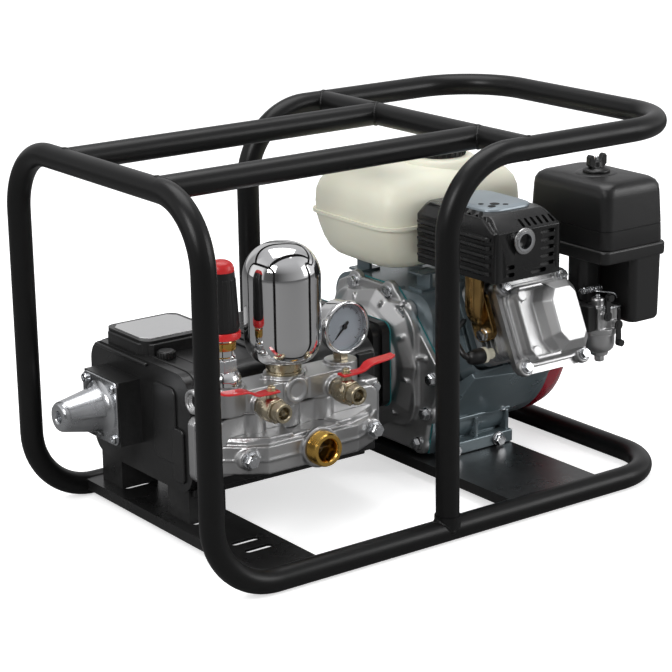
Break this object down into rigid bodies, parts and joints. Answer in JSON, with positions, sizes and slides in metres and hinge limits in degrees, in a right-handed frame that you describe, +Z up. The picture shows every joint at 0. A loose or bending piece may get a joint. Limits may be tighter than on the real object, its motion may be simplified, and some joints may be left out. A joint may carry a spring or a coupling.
{
  "type": "engine-driven pressure washer",
  "caption": "Petrol-engine pressure washer: a plunger pump and a small inclined four-stroke engine coupled in a welded tube carry frame.",
  "frame": {"origin": "centre of the frame's footprint, on the floor", "axes": "+X along the length towards the engine's starter end, +Z up, the pump's outlets and the valve cover face -Y"},
  "size_m": [0.66, 0.392, 0.422],
  "materials": {
    "frame_black": "satin black powder coat",
    "plate_black": "satin black paint on folded sheet",
    "pump_black": "satin black paint over a casting",
    "cast_aluminium": "bead-blasted casting",
    "bright_aluminium": "smooth die casting",
    "blue_grey_paint": "metallic blue-grey paint",
    "chrome_plate": "mirror-bright plate",
    "zinc_steel": "bright zinc",
    "machined_steel": "turned and ground",
    "brass": "machined brass",
    "nickel_brass": "nickel-plated brass",
    "lever_red": "red plastic dip",
    "cover_red": "deep red gloss enamel",
    "knob_black": "moulded black with a red cap and ring",
    "box_black": "moulded black",
    "shield_black": "heat-resistant black",
    "tank_cream": "blow-moulded cream",
    "blank_plate": "anodised plate, left blank",
    "dial_white": "white dial with plain divisions",
    "needle_black": "flat black",
    "lens": "clear",
    "ceramic": "ivory ceramic",
    "exhaust_bronze": "heat-tinted steel"
  },
  "bodies": {
    "frame_and_housings": {"base_frame_tube": "frame_black", "top_loop_tube": "frame_black", "top_cross_bar": "frame_black", "top_long_bars": "frame_black", "pump_base_plate": "plate_black", "engine_base_plate": "plate_black", "pump_crankcase": "pump_black", "pump_rear_cover": "pump_black", "pump_nameplate": "blank_plate", "shaft_cover": "chrome_plate", "pump_plungers": "ceramic", "plunger_block": "cast_aluminium", "suction_chamber": "cast_aluminium", "suction_inlet": "brass", "delivery_manifold": "cast_aluminium", "air_chamber": "chrome_plate", "air_chamber_neck": "nickel_brass", "valve_body_left": "nickel_brass", "valve_body_right": "nickel_brass", "regulator_body": "zinc_steel", "gauge_case": "chrome_plate", "gauge_dial": "dial_white", "gauge_lens": "lens", "coupling_adapter": "pump_black", "engine_crankcase": "blue_grey_paint", "engine_side_cover": "cast_aluminium", "side_cover_bolts": "zinc_steel", "cylinder_head": "cast_aluminium", "valve_cover": "bright_aluminium", "cylinder_shroud": "blue_grey_paint", "spark_plug": "ceramic", "fan_housing": "blue_grey_paint", "recoil_cover": "cover_red", "exhaust_pipe": "exhaust_bronze", "muffler": "zinc_steel", "muffler_shield": "shield_black", "fuel_tank": "tank_cream", "air_cleaner_base": "box_black", "carburettor": "cast_aluminium", "intake_elbow": "box_black"},
    "left_valve": {"valve_lever_left": "lever_red", "valve_ball_left": "chrome_plate"},
    "right_valve": {"valve_lever_right": "lever_red", "valve_ball_right": "chrome_plate"},
    "pressure_knob": {"regulator_knob": "knob_black"},
    "needle": {"gauge_needle": "needle_black"},
    "engine_crank": {"engine_crankshaft": "machined_steel", "flywheel_fan": "cast_aluminium"},
    "pump_crank": {"pump_crankshaft": "machined_steel", "pump_ring_gear": "machined_steel"},
    "tank_cap": {"fuel_cap": "box_black"},
    "filter_cover": {"air_cleaner_cover": "box_black"},
    "filter_nut": {"air_cleaner_knob": "box_black"},
    "choke": {"choke_lever": "box_black"},
    "fuel_cock": {"fuel_lever": "box_black"},
    "throttle": {"throttle_lever": "zinc_steel"},
    "stop_switch": {"engine_switch": "lever_red"},
    "starter": {"starter_grip": "box_black"},
    "pump_oil_cap": {"pump_oil_plug": "knob_black"},
    "engine_oil_cap": {"oil_dipstick": "box_black"}
  },
  "joints": [
    {"name": "left_valve_turn", "type": "hinge", "parent": "frame_and_housings", "child": "left_valve", "pos_m": [-0.1905, -0.104, 0.183], "axis": [0, 0, 1], "range_deg": [0, 90]},
    {"name": "right_valve_turn", "type": "hinge", "parent": "frame_and_housings", "child": "right_valve", "pos_m": [-0.0955, -0.104, 0.183], "axis": [0, 0, -1], "range_deg": [0, 90]},
    {"name": "pressure_knob_turn", "type": "hinge", "parent": "frame_and_housings", "child": "pressure_knob", "pos_m": [-0.218, -0.058, 0.26], "axis": [0, 0, 1], "range_deg": [-360, 720]},
    {"name": "needle_turn", "type": "hinge", "parent": "frame_and_housings", "child": "needle", "pos_m": [-0.069, -0.066, 0.219], "axis": [0, 1, 0], "range_deg": [0, 270], "stiffness_Nm_per_rad": 0.003, "springref_deg": -11.46},
    {"name": "engine_crank_spin", "type": "hinge", "parent": "frame_and_housings", "child": "engine_crank", "pos_m": [0.15, 0.072, 0.128], "axis": [1, 0, 0], "continuous": true},
    {"name": "pump_crank_spin", "type": "hinge", "parent": "frame_and_housings", "child": "pump_crank", "pos_m": [-0.125, 0.1, 0.128], "axis": [1, 0, 0], "continuous": true},
    {"name": "tank_cap_turn", "type": "hinge", "parent": "frame_and_housings", "child": "tank_cap", "pos_m": [0.176, 0.076, 0.355], "axis": [0, 0, 1], "range_deg": [0, 90]},
    {"name": "filter_cover_lift", "type": "slide", "parent": "frame_and_housings", "child": "filter_cover", "axis": [0, 0, 1], "range_m": [0, 0.05]},
    {"name": "filter_nut_turn", "type": "hinge", "parent": "filter_cover", "child": "filter_nut", "pos_m": [0.272, -0.086, 0.35], "axis": [0, 0, 1], "range_deg": [0, 720]},
    {"name": "choke_turn", "type": "hinge", "parent": "frame_and_housings", "child": "choke", "pos_m": [0.242, -0.141, 0.191], "axis": [0, -1, 0], "range_deg": [0, 60]},
    {"name": "fuel_cock_turn", "type": "hinge", "parent": "frame_and_housings", "child": "fuel_cock", "pos_m": [0.259, -0.141, 0.178], "axis": [0, 1, 0], "range_deg": [0, 80]},
    {"name": "throttle_turn", "type": "hinge", "parent": "frame_and_housings", "child": "throttle", "pos_m": [0.241, -0.032, 0.21], "axis": [0, 0, 1], "range_deg": [-20, 25]},
    {"name": "stop_switch_turn", "type": "hinge", "parent": "frame_and_housings", "child": "stop_switch", "pos_m": [0.239, -0.05, 0.15], "axis": [0, 1, 0], "range_deg": [0, 60]},
    {"name": "starter_pull", "type": "slide", "parent": "frame_and_housings", "child": "starter", "axis": [0, 0, 1], "range_m": [0, 0.06]},
    {"name": "pump_oil_cap_lift", "type": "slide", "parent": "frame_and_housings", "child": "pump_oil_cap", "axis": [0, 0, 1], "range_m": [0, 0.03]},
    {"name": "engine_oil_cap_draw", "type": "slide", "parent": "frame_and_housings", "child": "engine_oil_cap", "axis": [0, 1, 0], "range_m": [0, 0.06]}
  ],
  "couplings": [
    {"joint": "pump_crank_spin", "follows": "engine_crank_spin", "ratio": 0.33333}
  ]
}
